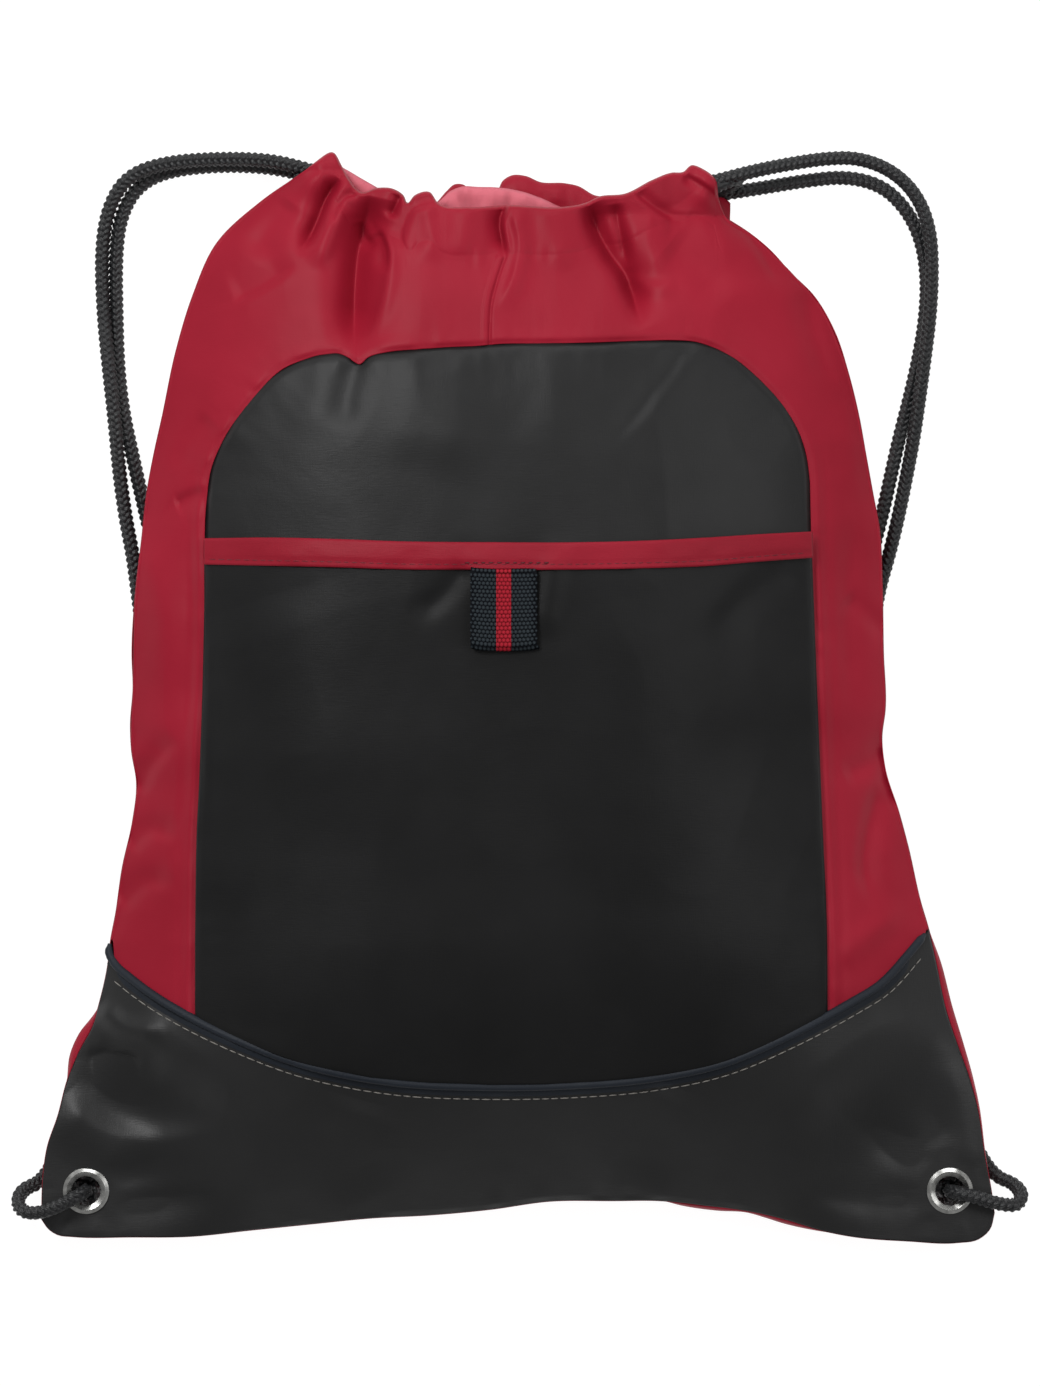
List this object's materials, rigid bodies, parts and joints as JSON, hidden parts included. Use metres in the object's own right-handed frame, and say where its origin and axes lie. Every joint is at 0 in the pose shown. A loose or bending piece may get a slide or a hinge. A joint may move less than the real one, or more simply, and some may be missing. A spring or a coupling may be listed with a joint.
{
  "type": "drawstring backpack",
  "caption": "Drawstring backpack with an arched front inset, bound slip pocket with pull tab, piped base and braided cord straps through corner eyelets.",
  "frame": {"origin": "on the floor below the middle of the bag, which lies on its back panel", "axes": "+Z out of the front panel, +Y from the hem to the gathered mouth, +X to the right seen from the front"},
  "size_m": [0.3979, 0.4275, 0.0754],
  "materials": {
    "red_cloth": "satin woven polyester, coated",
    "charcoal_cloth": "satin woven polyester, coated",
    "red_tape": "folded woven binding tape",
    "navy_piping": "twill bias tape over a filler cord",
    "striped_webbing": "ribbed polyester webbing with a red centre stripe",
    "eyelet_metal": "nickel plate",
    "black_cord": "braided polyester cord"
  },
  "bodies": {
    "bag": {"back_panel": "red_cloth", "front_frame_left": "red_cloth", "front_frame_right": "red_cloth", "front_casing": "red_cloth", "back_casing": "red_cloth", "pocket_backing": "charcoal_cloth", "pocket_panel": "charcoal_cloth", "base_panel": "charcoal_cloth", "pocket_binding": "red_tape", "piping": "navy_piping", "eyelet_left": "eyelet_metal", "eyelet_right": "eyelet_metal", "washer_left": "eyelet_metal", "washer_right": "eyelet_metal", "casing_cord_left": "black_cord", "tail_cord_left_front": "black_cord", "tail_cord_left_back": "black_cord", "knot_left": "black_cord", "casing_cord_right": "black_cord", "tail_cord_right_front": "black_cord", "tail_cord_right_back": "black_cord", "knot_right": "black_cord"},
    "pull_tab": {"pull_tab": "striped_webbing"},
    "strap_left": {"strap_cord_left_front": "black_cord", "strap_cord_left_back": "black_cord"},
    "strap_right": {"strap_cord_right_front": "black_cord", "strap_cord_right_back": "black_cord"}
  },
  "joints": [
    {"name": "pull_tab_flip", "type": "hinge", "parent": "bag", "child": "pull_tab", "pos_m": [-0.004, 0.0533, 0.07388], "axis": [-1, 0, 0], "range_deg": [0, 150]},
    {"name": "strap_left_swing", "type": "hinge", "parent": "bag", "child": "strap_left", "pos_m": [-0.0832, 0.2054, 0.0199], "axis": [0.414, 0.9044, 0.1035], "range_deg": [0, 60]},
    {"name": "strap_right_swing", "type": "hinge", "parent": "bag", "child": "strap_right", "pos_m": [0.0832, 0.1986, 0.0199], "axis": [0.4171, -0.9022, -0.1097], "range_deg": [0, 60]}
  ]
}
